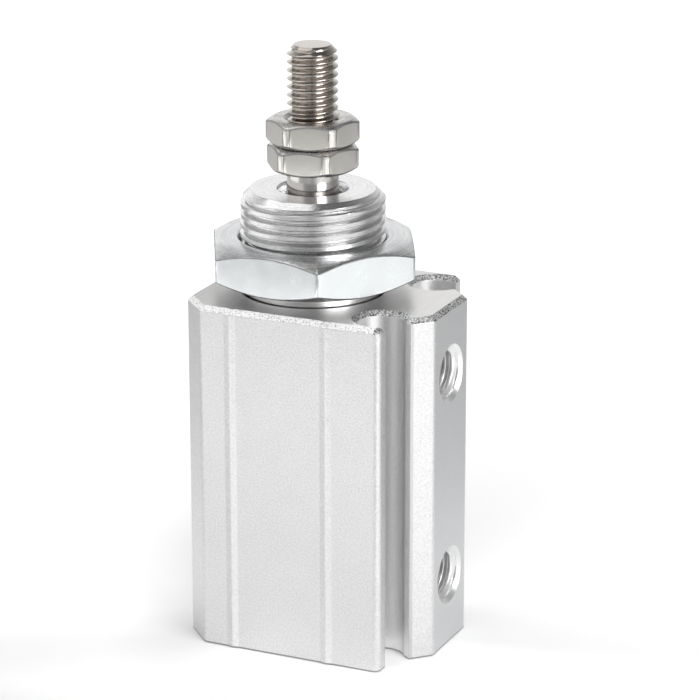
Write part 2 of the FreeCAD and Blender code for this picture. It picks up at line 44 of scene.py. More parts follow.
class Wire:  # one socket of a node tree
    def __init__(self, tree, socket=None):
        self.tree = tree
        self.socket = socket

    def add(self, kind, settings=None, inputs=None, output=0):
        node = self.tree.nodes.new(kind)
        for name, choice in (settings or {}).items():
            setattr(node, name, choice)
        for name, given in (inputs or {}).items():
            if isinstance(given, Wire):
                self.tree.links.new(given.socket, node.inputs[name])
            else:
                node.inputs[name].default_value = given
        return Wire(self.tree, node.outputs[output] if len(node.outputs) else None)

    def math(self, operation, *terms):
        return self.add("ShaderNodeMath", {"operation": operation}, dict(enumerate(terms)))

    def alone(self, operation):
        return self.math(operation, self)

    def __add__(self, other):
        return self.math("ADD", self, other)

    def __sub__(self, other):
        return self.math("SUBTRACT", self, other)

    def __mul__(self, other):
        return self.math("MULTIPLY", self, other)

    def __truediv__(self, other):
        return self.math("DIVIDE", self, other)

    def __pow__(self, other):
        return self.math("POWER", self, other)

    def __radd__(self, other):
        return self.math("ADD", other, self)

    def __rsub__(self, other):
        return self.math("SUBTRACT", other, self)

    def __rmul__(self, other):
        return self.math("MULTIPLY", other, self)

    def __rtruediv__(self, other):
        return self.math("DIVIDE", other, self)

    def clamped(self, low=0.0, high=1.0):
        return self.math("MINIMUM", self.math("MAXIMUM", self, low), high)

    def ramp(self, start, end):  # 0 at start, 1 at end
        return ((self - start) / (end - start)).clamped()

    def soft(self, start, end):  # the same with eased ends
        share = self.ramp(start, end)
        return share * share * (3.0 - 2.0 * share)

    def blend(self, first, second):  # colours, by this factor
        return self.add("ShaderNodeMix", {"data_type": "RGBA"}, {0: self, 6: first, 7: second}, 2)

    def split(self):  # x, y and z of a vector
        parts = self.add("ShaderNodeSeparateXYZ", {}, {0: self})
        return [Wire(self.tree, parts.socket.node.outputs[axis]) for axis in "XYZ"]


def newMaterial(name):  # and its spot on the piece, in millimetres
    material = bpy.data.materials.new(name)
    material.use_nodes = True
    material.node_tree.nodes.clear()
    spot = Wire(material.node_tree).add("ShaderNodeTexCoord", output="Object")
    spot = spot.add("ShaderNodeVectorMath", {"operation": "SCALE"}, {0: spot, "Scale": 1000.0})
    return material, spot


def surface(material, start, inputs):
    shader = start.add("ShaderNodeBsdfPrincipled", {}, inputs)
    shader.add("ShaderNodeOutputMaterial", {}, {"Surface": shader})
    return material


def noise(spot, scale, detail=2.0, roughness=0.55):
    return spot.add("ShaderNodeTexNoise", {}, {
        "Vector": spot, "Scale": scale, "Detail": detail, "Roughness": roughness,
    })


def bumped(spot, height, depth):
    return spot.add("ShaderNodeBump", {}, {"Strength": 1.0, "Distance": depth * millimetre, "Height": height})


def grey(level, warmth=0.0):
    return (level * (1 + warmth), level, level * (1 - warmth), 1.0)


# painted light along the barrel: painted shade on the left flank and a painted highlight on the right flank of each
# ridge, painted shade on the left chamfer and a painted dark line along the beak
paintedFlankLight = {
    "ridges": (-4.1, 5.9), "flankMiddle": 0.33, "flankEdge": (0.24, 0.34), "shadedFlank": -0.24, "bright": 0.38,
    "frontFrom": (9.9, 9.98), "chamferFrom": (17.05, 17.15), "chamferShade": 0.26,
    "beak": (12.78, 5.72), "beakEdge": (0.17, 0.32), "beakShade": 1.1,
}


def paintFlankLight(spot, tone):
    x, y = spot.split()[:2]
    side = y.alone("ABSOLUTE")
    flanks = 0.0
    for ridge in paintedFlankLight["ridges"]:
        for shift, change in ((-1, paintedFlankLight["shadedFlank"]), (1, paintedFlankLight["bright"])):
            offset = (x - (ridge + shift * paintedFlankLight["flankMiddle"])).alone("ABSOLUTE")
            flanks = flanks + (1.0 - offset.ramp(*paintedFlankLight["flankEdge"])) * change
    chamfer = (side - x).ramp(*paintedFlankLight["chamferFrom"])
    beakX, beakY = paintedFlankLight["beak"]
    beak = 1.0 - (((x - beakX) ** 2.0 + (side - beakY) ** 2.0) ** 0.5).ramp(*paintedFlankLight["beakEdge"])
    # painted shade and highlight on the ridge flanks of the front and back faces, painted shade on the left chamfer
    # and a painted dark line along the beak
    tone = tone + flanks * side.ramp(*paintedFlankLight["frontFrom"])
    return tone - chamfer * paintedFlankLight["chamferShade"] - beak * paintedFlankLight["beakShade"]


def blastedAluminium(name, look, paintsLight=False):
    material, spot = newMaterial(name)
    grain = noise(spot, look["grain"], 3.0)
    cloud = noise(spot, 0.35, 1.0)
    tone = (grain - 0.5) * 1.4 + (cloud - 0.5) * 0.12 + 0.5
    # with the flag set, the tone takes painted shade and highlights along the ridges, the left chamfer and the beak
    if paintsLight:
        tone = paintFlankLight(spot, tone)
    return surface(material, spot, {
        "Base Color": tone.clamped().blend(grey(look["dark"], look["tint"]), grey(look["light"], look["tint"])),
        "Metallic": 1.0,
        "Roughness": look["roughness"] + (grain - 0.5) * 0.2,
        "Normal": bumped(spot, grain, look["pit"]),
    })


def sawnEdge(name, look):  # torn bright and dark grains where the saw went through
    material, spot = newMaterial(name)
    grain = noise(spot, look["grain"], 4.0, 0.7)
    return surface(material, spot, {
        "Base Color": grain.ramp(look["low"], look["low"] + 0.18).blend(grey(look["dark"]), grey(look["light"])),
        "Metallic": look["metallic"],
        "Roughness": 0.42 + (grain - 0.5) * 0.3,
        "Normal": bumped(spot, grain, 0.09),
    })


def machinedAluminium(name, look):  # long marks along y, with painted shade: darker on the left of the top face, brighter towards the ports
    material, spot = newMaterial(name)
    lines = (look["lines"], look["along"], look["lines"])
    marks = noise(spot.add("ShaderNodeVectorMath", {"operation": "MULTIPLY"}, {0: spot, 1: lines}), 1.0)
    # the ramp along x paints shade on the left of the top face
    tone = spot.split()[0].ramp(*look["brightens"]) * 0.8 + (marks - 0.5) * 0.5 + 0.1
    return surface(material, spot, {
        "Base Color": tone.clamped().blend(grey(look["dark"], 0.01), grey(look["light"], 0.01)),
        "Metallic": 1.0,
        "Roughness": look["roughness"] + (marks - 0.5) * 0.1,
        "Normal": bumped(spot, marks, look["groove"]),
    })


def ringed(name, look):  # turned metal, with rings round the axis
    material, spot = newMaterial(name)
    x, y, z = spot.split()
    radius = (x * x + y * y) ** 0.5
    lines = spot.add("ShaderNodeCombineXYZ", {}, {
        0: radius * look["lines"], 1: z * look["lines"], 2: x * look["streak"],
    })
    speckle = (noise(spot, 9.0) - 0.5) * look["speckle"]
    marks = (noise(lines, 1.0, 3.0, 0.7) + speckle).clamped()
    return surface(material, spot, {
        "Base Color": marks.blend(grey(look["dark"], look["warmth"]), grey(look["light"], look["warmth"])),
        "Metallic": 1.0,
        "Roughness": look["roughness"] + (marks - 0.5) * look["spread"],
        "Normal": bumped(spot, marks, look["groove"]),
    })


def plated(name, look):
    material, spot = newMaterial(name)
    stain = noise(spot, 0.6, 3.0)
    fine = noise(spot, 12.0)
    return surface(material, spot, {
        "Base Color": stain.blend(look["dark"], look["light"]),
        "Metallic": 1.0,
        "Roughness": look["roughness"] + (stain - 0.5) * 0.12 + (fine - 0.5) * 0.06,
        "Normal": bumped(spot, fine, look["pit"]),
    })


def plain(name, colour, roughness, metallic=0.0):
    material, spot = newMaterial(name)
    fine = noise(spot, 6.0)
    return surface(material, spot, {
        "Base Color": colour,
        "Metallic": metallic,
        "Roughness": roughness + (fine - 0.5) * 0.1,
        "Normal": bumped(spot, fine, 0.003),
    })


# the barrel skin: blasted grain, with painted shade and highlights on the ridges, the left chamfer and the beak
barrelSkin = blastedAluminium("blastedAluminium", {
    "dark": 0.58, "light": 0.86, "tint": 0.0, "roughness": 0.35, "grain": 5.5, "pit": 0.05,
}, paintsLight=True)
# a darker copy of the blasted skin for the port face: painted shade
portSkin = blastedAluminium("portFaceShaded", {
    "dark": 0.58, "light": 0.70, "tint": -0.01, "roughness": 0.48, "grain": 9.0, "pit": 0.01,
})
# a lighter copy of the blasted skin for the slot wall, with finer pits: painted light in the hollow
slotSkin = blastedAluminium("litSlotWall", {
    "dark": 0.74, "light": 0.87, "tint": 0.0, "roughness": 0.36, "grain": 6.0, "pit": 0.015,
})
frontEdge = sawnEdge("sawnFrontEdge", {"dark": 0.30, "light": 0.92, "metallic": 0.6, "grain": 5.5, "low": 0.33})
# a darker copy of the sawn edge for the chamfer towards the port face and round the slot: painted shade
shadedSideEdge = sawnEdge("sawnSideEdgeShaded", {"dark": 0.08, "light": 0.85, "metallic": 1.0, "grain": 5.0, "low": 0.4})
barrelTop = machinedAluminium("machinedAluminium", {
    "dark": 0.50, "light": 0.88, "roughness": 0.40, "lines": 6.0, "along": 0.25, "brightens": (-12.0, 11.0),
    "groove": 0.004,
})
coverMetal = ringed("turnedAluminium", {
    "dark": 0.42, "light": 0.92, "warmth": 0.0, "roughness": 0.18, "spread": 0.14,
    "lines": 9.0, "groove": 0.008, "streak": 1.2, "speckle": 0.9,
})
portMetal = ringed("tappedPort", {
    "dark": 0.72, "light": 0.92, "warmth": 0.0, "roughness": 0.30, "spread": 0.08,
    "lines": 5.0, "groove": 0.003, "streak": 0.0, "speckle": 0.1,
})
rodSteel = ringed("groundRodSteel", {
    "dark": 0.50, "light": 0.62, "warmth": 0.03, "roughness": 0.12, "spread": 0.05,
    "lines": 14.0, "groove": 0.0008, "streak": 0.0, "speckle": 0.1,
})
rolledSteel = ringed("rolledThreadSteel", {
    "dark": 0.30, "light": 0.50, "warmth": 0.08, "roughness": 0.14, "spread": 0.08,
    "lines": 14.0, "groove": 0.002, "streak": 0.0, "speckle": 0.1,
})
turnedNickel = ringed("turnedNickelFace", {
    "dark": 0.10, "light": 0.95, "warmth": 0.03, "roughness": 0.28, "spread": 0.2,
    "lines": 4.5, "groove": 0.02, "streak": 2.0, "speckle": 0.6,
})
turnedZinc = ringed("turnedZincFace", {
    "dark": 0.36, "light": 0.86, "warmth": -0.012, "roughness": 0.26, "spread": 0.12,
    "lines": 3.0, "groove": 0.01, "streak": 0.5, "speckle": 0.3,
})
nutZinc = plated("clearZincPlate", {
    "dark": (0.77, 0.80, 0.81, 1.0), "light": (0.86, 0.89, 0.90, 1.0), "roughness": 0.26, "pit": 0.003,
})
nutNickel = plated("nickelPlate", {
    "dark": (0.72, 0.70, 0.66, 1.0), "light": (0.86, 0.84, 0.79, 1.0), "roughness": 0.24, "pit": 0.004,
})
# dark band where the nut flats meet the cones: a painted shade line
shadedNutEdge = plated("nutEdgeShadeLine", {"dark": grey(0.04), "light": grey(0.5), "roughness": 0.4, "pit": 0.02})
# dark foot break along the bottom edge: painted contact shadow
footShade = plain("footContactShade", grey(0.32), 0.5, 1.0)
springSteel = plain("springSteel", grey(0.30), 0.34, 1.0)
bushBronze = plain("bushBronze", (0.55, 0.36, 0.16, 1.0), 0.35, 1.0)
blackRubber = plain("blackRubber", grey(0.02), 0.55)
wearPlastic = plain("wearPlastic", (0.55, 0.50, 0.38, 1.0), 0.5)
magnetBlack = plain("magnetBlack", grey(0.05), 0.45)
print("materials made")


def softened(corners):  # corners (a, b), or (a, b, reach) of one that is rounded
    rounded = []
    for number, corner in enumerate(corners):
        here = Vector(corner[:2])
        if len(corner) < 3:
            rounded.append(tuple(here))
            continue
        before = Vector(corners[number - 1][:2])
        after = Vector(corners[(number + 1) % len(corners)][:2])
        start = here + (before - here).normalized() * corner[2]
        end = here + (after - here).normalized() * corner[2]
        for step in (0.0, 0.33, 0.67, 1.0):
            bend = start * (1 - step) ** 2 + here * (2 * step * (1 - step)) + end * step ** 2
            rounded.append(tuple(bend))
    return rounded


class Shell:  # points in millimetres, faces, and the material slot of each face
    def __init__(self):
        self.points = []
        self.faces = []
        self.paints = []

    def ring(self, places):
        first = len(self.points)
        self.points.extend(places)
        return list(range(first, len(self.points)))

    def circle(self, radius, level, columns=96):
        turns = [2 * pi * number / columns for number in range(columns)]
        return self.ring([(radius * cos(turn), radius * sin(turn), level) for turn in turns])

    def bridge(self, lower, upper, paint=0, skip=()):
        count = max(len(lower), len(upper))
        for number in range(count):
            if number in skip:
                continue
            following = (number + 1) % count
            if len(lower) == 1:
                face = [lower[0], upper[following], upper[number]]
            elif len(upper) == 1:
                face = [lower[number], lower[following], upper[0]]
            else:
                face = [lower[number], lower[following], upper[following], upper[number]]
            self.faces.append(face)
            self.paints.append(paint)

    def chain(self, rings, paint=0):
        for lower, upper in zip(rings, rings[1:]):
            self.bridge(lower, upper, paint)

    def lid(self, loops, paint=0):
        flat = [number for loop in loops for number in loop]
        for triangle in tessellate_polygon([[Vector(self.points[number]) for number in loop] for loop in loops]):
            self.faces.append([flat[number] for number in triangle])
            self.paints.append(paint)

    def turn(self, profile, closed=True):  # profile of (radius, level)
        rings = []
        for radius, level in profile:
            rings.append(self.circle(radius, level) if radius > 0 else self.ring([(0.0, 0.0, level)]))
        self.chain(rings + rings[:1] if closed else rings)

    def mesh(self, name, materials, sharp=28.0):
        mesh = bpy.data.meshes.new(name)
        mesh.from_pydata([Vector(point) * millimetre for point in self.points], [], self.faces)
        for material in materials:
            mesh.materials.append(material)
        for polygon, paint in zip(mesh.polygons, self.paints):
            polygon.material_index = paint
        return dressed(mesh, sharp)


def dressed(mesh, sharp):
    work = bmesh.new()
    work.from_mesh(mesh)
    bmesh.ops.remove_doubles(work, verts=work.verts, dist=2e-7)
    bmesh.ops.dissolve_degenerate(work, edges=work.edges, dist=1e-7)
    bmesh.ops.recalc_face_normals(work, faces=work.faces)
    work.to_mesh(mesh)
    work.free()
    mesh.shade_smooth()
    mesh.set_sharp_from_angle(angle=radians(sharp))
    return mesh


def linked(name, data):
    piece = bpy.data.objects.new(name, data)
    bpy.context.scene.collection.objects.link(piece)
    return piece


def baking(holder, name):  # the holder's modifiers turned into a plain mesh
    graph = bpy.context.evaluated_depsgraph_get()
    evaluated = holder.evaluated_get(graph)
    baked = bpy.data.meshes.new_from_object(evaluated, preserve_all_data_layers=True, depsgraph=graph)
    holder.modifiers.clear()
    old = holder.data
    bpy.data.objects.remove(holder)
    bpy.data.meshes.remove(old)
    baked.name = name
    return baked


def weighted(mesh):
    holder = linked(mesh.name + "Holder", mesh)
    modifier = holder.modifiers.new("faceWeights", "WEIGHTED_NORMAL")
    modifier.mode = "FACE_AREA"
    modifier.keep_sharp = True
    return baking(holder, mesh.name)


def together(name, meshes, sharp=28.0):
    materials = []
    work = bmesh.new()
    whole = bpy.data.meshes.new(name)
    for mesh in meshes:
        for material in mesh.materials:
            if material not in materials:
                materials.append(material)
        slots = [materials.index(material) for material in mesh.materials]
        for polygon in mesh.polygons:
            polygon.material_index = slots[polygon.material_index]
        work.from_mesh(mesh)
    work.to_mesh(whole)
    work.free()
    for material in materials:
        whole.materials.append(material)
    whole.shade_smooth()
    whole.set_sharp_from_angle(angle=radians(sharp))
    return whole


def fitted(name, mesh, body, node=None):  # node: the solid that it takes the place of
    piece = linked(name, mesh)
    mesh.name = name
    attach(piece, body)
    if node:
        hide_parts(node)
    return piece


threadInputs = {
    "Crest Radius": ("NodeSocketFloat", 0.0025),
    "Crest Share": ("NodeSocketFloat", 0.1),
    "Depth": ("NodeSocketFloat", 0.0005),
    "Pitch": ("NodeSocketFloat", 0.0008),
    "Start": ("NodeSocketFloat", 0.0),
    "End": ("NodeSocketFloat", 0.01),
    "Start Radius": ("NodeSocketFloat", 0.0025),
    "End Radius": ("NodeSocketFloat", 0.002),
    "Core Radius": ("NodeSocketFloat", 0.0),
    "Side": ("NodeSocketFloat", 1.0),
    "Columns": ("NodeSocketInt", 96),
    "Rows Per Pitch": ("NodeSocketInt", 16),
    "Rows": ("NodeSocketInt", 100),
    "Closing Rows": ("NodeSocketInt", 0),
    "Material": ("NodeSocketMaterial", None),
}


def growThreadTree():  # a grid rolled up along the helix, cut off at both ends
    rootShare, almostHalf, collapse, turnsAhead = 0.8, 0.4999, 400, 8
    tree = bpy.data.node_groups.new("screwThread", "GeometryNodeTree")
    for name, (kind, start) in threadInputs.items():
        socket = tree.interface.new_socket(name, in_out="INPUT", socket_type=kind)
        if start is not None:
            socket.default_value = start
    tree.interface.new_socket("Geometry", in_out="OUTPUT", socket_type="NodeSocketGeometry")
    begin = Wire(tree)
    door = tree.nodes.new("NodeGroupInput")
    given = {name: Wire(tree, door.outputs[name]) for name in threadInputs}
    columns, rows, perPitch = given["Columns"], given["Rows"], given["Rows Per Pitch"]
    pitch, side, core = given["Pitch"], given["Side"], given["Core Radius"]
    first, last = given["Start"], given["End"]

    lines = rows + given["Closing Rows"]
    sheet = begin.add("GeometryNodeMeshGrid", {}, {
        "Size X": 1.0, "Size Y": 1.0, "Vertices X": columns + 1, "Vertices Y": lines,
    })
    gridX, gridY = begin.add("GeometryNodeInputPosition").split()[:2]
    lap = ((gridX + 0.5) * columns).alone("ROUND") / columns
    row = ((gridY + 0.5) * (lines - 1)).alone("ROUND")
    step = pitch / perPitch
    rise = first - pitch - 2 * step + row * step + lap * pitch
    for goal in (first, last):  # levels within half a step move onto the end
        gap = (rise - goal).alone("ABSOLUTE")
        rise = rise + (goal - rise) * gap.math("LESS_THAN", gap, step * almostHalf)
    level = rise.math("MINIMUM", rise.math("MAXIMUM", rise, first), last)
    beyond = (rise - level).alone("ABSOLUTE")

    phase = ((level - lap * pitch - first + 2 * step) / pitch + turnsAhead).alone("FRACT")
    fall = ((phase - 0.5).alone("ABSOLUTE") * 2).ramp(given["Crest Share"], rootShare)
    drop = given["Depth"] * (fall * fall * (3.0 - 2.0 * fall) * 0.5 + fall * 0.5)  # rounded crest and root
    wall = side * given["Crest Radius"] - drop
    wall = wall.math("MINIMUM", wall, side * given["End Radius"] + (last - level))
    wall = wall.math("MINIMUM", wall, side * given["Start Radius"] + (level - first))
    wall = wall.math("MAXIMUM", wall - beyond * collapse, side * core)
    closing = row.math("GREATER_THAN", row, rows - 0.5)
    radius = side * wall
    radius = radius + (core - radius) * closing
    level = level + (first - level) * closing
    angle = lap * (2 * pi)
    wrapped = begin.add("ShaderNodeCombineXYZ", {}, {
        0: radius * angle.alone("COSINE"), 1: radius * angle.alone("SINE"), 2: level,
    })
    shaped = begin.add("GeometryNodeSetPosition", {}, {"Geometry": sheet, "Position": wrapped})
    welded = begin.add("GeometryNodeMergeByDistance", {}, {"Geometry": shaped, "Distance": 2e-6})
    real = begin.add("GeometryNodeRealizeInstances", {}, {"Geometry": welded})
    painted = begin.add("GeometryNodeSetMaterial", {}, {"Geometry": real, "Material": given["Material"]})
    begin.add("NodeGroupOutput", {}, {"Geometry": painted})
    return tree


screwThread = growThreadTree()
threadLengths = {
    "Crest Radius": "crest", "Depth": "depth", "Pitch": "pitch", "Start": "start", "End": "end",
    "Start Radius": "startRadius", "End Radius": "endRadius", "Core Radius": "core",
}


def thread(name, material, sizes, rowsPerPitch=16):  # sizes in millimetres
    settings = {given: sizes[own] * millimetre for given, own in threadLengths.items()}
    steps = round((sizes["end"] - sizes["start"]) / (sizes["pitch"] / rowsPerPitch))
    settings.update({
        "Crest Share": sizes["crestShare"],
        "Side": sizes["side"],
        "Columns": sizes["columns"],
        "Rows Per Pitch": rowsPerPitch,
        "Rows": steps + rowsPerPitch + 6,
        "Closing Rows": 1 if sizes["core"] > 0 else 0,
        "Material": material,
    })
    holder = linked(name + "Holder", bpy.data.meshes.new(name))
    modifier = holder.modifiers.new("screwThread", "NODES")
    modifier.node_group = screwThread
    for item in screwThread.interface.items_tree:
        if item.in_out == "INPUT":
            modifier[item.identifier] = settings[item.name]
    return dressed(baking(holder, name), 34.0)


barrel = {
    "left": -10.0, "right": 14.5, "front": -10.0, "height": 34.5,
    "leftChamfer": 2.8, "rightChamfer": 6.0, "chamferRound": 0.35,
    "endChamfer": 0.5, "endRound": 0.04, "footBreak": 0.2,
    "ridges": (-4.1, 5.9), "ridgeHalf": 0.65, "ridgeHeight": 0.18, "ridgeRound": (0.08, 0.16, 0.08),
    "slotX": 10.1, "slotY": -6.5, "slotRadius": 2.3, "sideEdgeFrom": 10.6,
    "lipX": 11.4, "lipRound": 0.65,
    "flank": (12.05, -5.28), "flankRound": 0.06, "beak": (12.75, -5.75), "beakRound": 0.3,
    "bore": 8.0, "boreTop": 33.0, "noseHole": 7.05, "noseHoleBreak": 0.08,
    "coverBore": 8.6, "coverLead": 0.3, "coverSeat": 5.2, "groove": 9.0, "grooveFrom": 0.75, "grooveTo": 1.85,
    "ports": (7.1, 27.7), "portMouth": 2.9, "portHole": 2.58, "portFloor": 10.0, "passage": 1.0, "passageEnd": 8.4,
}
portThread = {
    "start": 10.02, "end": 14.2, "crest": 2.1, "crestShare": 0.15, "depth": 0.46, "pitch": 0.8,
    "startRadius": 2.1, "endRadius": 2.6, "core": 2.66, "side": -1.0, "columns": 72,
}
barrelPaints = {
    "skin": barrelSkin, "edge": frontEdge, "top": barrelTop, "portFace": portSkin,
    "foot": footShade, "port": portMetal, "slot": slotSkin, "shadedSideEdge": shadedSideEdge,
}
paintSlots = {name: number for number, name in enumerate(barrelPaints)}


def moved(before, corner, after, inset):  # corner of a left-wound outline, moved inwards
    first = (Vector(corner) - Vector(before)).normalized()
    second = (Vector(after) - Vector(corner)).normalized()
    inner = Vector((-first.y, first.x))
    other = Vector((-second.y, second.x))
    return Vector(corner) + (inner + other) / (1 + inner.dot(other)) * inset


def frontOutline(inset):  # left side, chamfer and ridges, up to the lip
    b = barrel
    half = [(b["left"], 4.0), (b["left"], b["front"] + b["leftChamfer"]), (b["left"] + b["leftChamfer"], b["front"])]
    rounding = [b["chamferRound"]] * 2
    for ridge in b["ridges"]:
        half.append((ridge - b["ridgeHalf"], b["front"]))
        half.append((ridge, b["front"] - b["ridgeHeight"]))
        half.append((ridge + b["ridgeHalf"], b["front"]))
        rounding += b["ridgeRound"]
    half.append((b["lipX"] - b["lipRound"], b["front"]))
    corners = [(half[0][0] + inset, half[0][1])]
    for number, reach in enumerate(rounding):
        spot = moved(half[number], half[number + 1], half[number + 2], inset)
        corners.append((spot.x, spot.y, reach))
    corners.append((half[-1][0], half[-1][1] + inset))
    return softened(corners)[1:-1]


def barrelSection(inset, lipSteps=8, slotSteps=48):
    b = barrel
    section = frontOutline(inset)
    lipTurn, lipRadius = b["lipX"] - b["lipRound"], b["lipRound"] - inset
    for step in range(lipSteps + 1):  # rounded front lip
        turn = -pi / 2 + pi / 2 * step / lipSteps
        section.append((lipTurn + lipRadius * cos(turn), b["front"] + b["lipRound"] + lipRadius * sin(turn)))
    radius = b["slotRadius"] + inset
    across = b["lipX"] - inset - b["slotX"]
    slotStart = -atan2(sqrt(radius ** 2 - across ** 2), across)
    flank, beak = Vector(b["flank"]), Vector(b["beak"])
    run = (beak - flank).normalized()
    base = flank + Vector((-run.y, run.x)) * inset - Vector((b["slotX"], b["slotY"]))
    along = -base.dot(run) + sqrt(base.dot(run) ** 2 - base.length_squared + radius ** 2)
    touch = base + run * along
    slotEnd = atan2(touch.y, touch.x) - 2 * pi
    for step in range(slotSteps + 1):  # round slot
        turn = slotStart + (slotEnd - slotStart) * step / slotSteps
        section.append((b["slotX"] + radius * cos(turn), b["slotY"] + radius * sin(turn)))
    corner = (b["right"], b["front"] + b["rightChamfer"])
    ends = [
        tuple(section[-1]),
        (*moved(flank, beak, corner, inset), b["flankRound"]),
        (*moved(beak, corner, (b["right"], 0.0), inset), b["beakRound"]),
        (b["right"] - inset, 0.0),
    ]
    section += softened(ends)[1:-1]
    return section + [(x, -y) for x, y in reversed(section)]


def barrelWall(shell):  # outside, from the foot to the sawn top edge, open at the port face
    b = barrel
    height, edge, foot, ease = b["height"], b["endChamfer"], b["footBreak"], b["endRound"]
    levels = [  # (inset, level)
        (foot, 0.0), (0.03, foot * 0.3), (0.0, foot),
        (0.0, height - edge - ease), (0.015, height - edge + 0.03),
        (edge - ease, height - ease), (edge + 0.02, height),
    ]
    # the foot break rings take the dark foot material: painted contact shadow
    paints = [paintSlots[name] for name in ("foot", "foot", "skin", "skin", "edge", "edge")]
    rings = [shell.ring([(x, y, level) for x, y in barrelSection(inset)]) for inset, level in levels]
    portFace = len(rings[0]) // 2 - 1  # the strip between the last front point and its mirror
    middles = [hypot(shell.points[spot][0] - b["slotX"], abs(shell.points[spot][1]) + b["slotY"]) for spot in rings[0]]
    for number, (lower, upper) in enumerate(zip(rings, rings[1:])):
        first = len(shell.faces)
        shell.bridge(lower, upper, paints[number], skip=(portFace,) if number == 2 else ())
        for face in range(first, len(shell.faces)):
            spot = shell.faces[face][0]
            inSlot = abs(middles[spot - lower[0]] - b["slotRadius"]) < 0.25
            # the slot wall takes the lighter skin: painted light in the hollow
            if number in (2, 3) and inSlot:
                shell.paints[face] = paintSlots["slot"]
            # the top chamfer round the slot and towards the port face takes the darker copy of the sawn edge: painted
            # shade
            elif number > 3 and (inSlot or shell.points[spot][0] > b["sideEdgeFrom"]):
                shell.paints[face] = paintSlots["shadedSideEdge"]
    opening = [rings[2][portFace], rings[2][portFace + 1], rings[3][portFace + 1], rings[3][portFace]]
    return rings[0], rings[-1], opening


def barrelBores(shell, foot, top):
    b = barrel
    hollow = [
        (b["coverBore"] + b["coverLead"], 0.0), (b["coverBore"], b["coverLead"]), (b["coverBore"], b["grooveFrom"]),
        (b["groove"], b["grooveFrom"]), (b["groove"], b["grooveTo"]), (b["coverBore"], b["grooveTo"]),
        (b["coverBore"], b["coverSeat"]), (b["bore"], b["coverSeat"]), (b["bore"], b["boreTop"]),
        (b["noseHole"], b["boreTop"]), (b["noseHole"], b["height"] - b["noseHoleBreak"]),
        (b["noseHole"] + b["noseHoleBreak"], b["height"]),
    ]
    bores = [shell.circle(radius, level) for radius, level in hollow]
    shell.chain(bores, paintSlots["top"])
    shell.lid([foot, bores[0]], paintSlots["top"])
    shell.lid([top, bores[-1]], paintSlots["top"])


def barrelPorts(shell, opening, columns=64):
    b = barrel
    steps = [
        (b["portMouth"], b["right"]), (b["portHole"], b["right"] - b["portMouth"] + b["portHole"]),
        (b["portHole"], b["portFloor"]), (b["passage"], b["portFloor"]), (b["passage"], b["passageEnd"]),
    ]
    turns = [2 * pi * number / columns for number in range(columns)]
    mouths = []
    for level in b["ports"]:
        drilled = []
        for radius, x in steps:
            drilled.append(shell.ring([(x, radius * cos(turn), level + radius * sin(turn)) for turn in turns]))
        shell.chain(drilled, paintSlots["port"])
        shell.lid([drilled[-1]], paintSlots["port"])
        mouths.append(drilled[0])
    # the port face takes the darker skin: painted shade
    shell.lid([opening] + mouths, paintSlots["portFace"])


barrelShell = Shell()
footRing, topRing, portOpening = barrelWall(barrelShell)
barrelBores(barrelShell, footRing, topRing)
barrelPorts(barrelShell, portOpening)
fitted("barrelBody", weighted(barrelShell.mesh("barrelBody", barrelPaints.values(), 24.0)), "barrel", "body")
for number, level in enumerate(barrel["ports"]):
    sleeve = thread("portThread%d" % number, portMetal, portThread)
    sleeve.transform(Matrix.Translation((0, 0, level * millimetre)) @ Matrix.Rotation(pi / 2, 4, "Y"))
    fitted("portThread%d" % number, sleeve, "barrel")
print("barrel made")


nose = {
    "start": 36.1, "end": 44.5, "crest": 7.0, "crestShare": 0.42, "depth": 0.58, "pitch": 1.0,
    "startRadius": 6.95, "endRadius": 6.05, "core": 5.98, "side": 1.0, "columns": 96,
    "profile": [  # flange with its ring groove, neck, flat top, mouth round the rod, seat of seal and bush
        (3.8, 29.2), (4.7, 29.2), (4.7, 29.8), (6.0, 29.8), (6.0, 29.2), (7.65, 29.2), (7.95, 29.5),
        (7.95, 30.33), (6.9, 30.33), (6.9, 31.87), (7.95, 31.87), (7.95, 33.0), (6.85, 33.0),
        (6.85, 36.12, 0.02), (6.3, 36.12), (6.3, 43.0), (5.98, 43.4), (5.98, 44.5), (3.5, 44.5, 0.05),
        (3.4, 44.35), (3.3, 43.35), (2.75, 43.25), (2.75, 43.1), (3.4, 42.9), (3.4, 41.9),
        (4.1, 41.9), (4.1, 39.7), (2.8, 39.7), (2.8, 39.0), (3.8, 39.0),
    ],
}
noseShell = Shell()
noseShell.turn(softened(nose["profile"]))
noseMeshes = [noseShell.mesh("frontCoverCore", [coverMetal]), thread("noseThread", coverMetal, nose)]
fitted("frontCoverNose", weighted(together("frontCoverNose", noseMeshes)), "barrel", "front_cover")
print("front cover made")


rod = {
    "start": 46.45, "end": 58.5, "crest": 2.45, "crestShare": 0.06, "depth": 0.49, "pitch": 0.8,
    "startRadius": 2.3, "endRadius": 1.75, "core": 0.0, "side": 1.0, "columns": 72,
    "profile": [(0.0, 6.1), (1.6, 6.1), (2.0, 6.5), (2.0, 18.35), (2.5, 18.35), (2.5, 46.5, 0.03), (0.0, 46.5)],
}
rodShell = Shell()
rodShell.turn(softened(rod["profile"]), closed=False)
rodMeshes = [rodShell.mesh("rodShaft", [rodSteel]), thread("rodThread", rolledSteel, rod)]
fitted("pistonRod", weighted(together("pistonRod", rodMeshes)), "rod", "piston_rod")
print("rod made")


mountingNut = {
    "flats": 19.0, "face": 9.35, "bore": 7.05, "sink": 0.3, "corner": 0.30, "edge": 0.07,
    "low": 35.85, "high": 39.85, "turn": -2.6,
}
rodNut = {"flats": 8.0, "face": 3.8, "bore": 2.5, "sink": 0.3, "corner": 0.5, "edge": 0.11}
lowerRodNut = {**rodNut, "low": 46.4, "high": 48.9, "turn": 11.5}
upperRodNut = {**rodNut, "low": 48.95, "high": 51.45, "turn": 20.3}


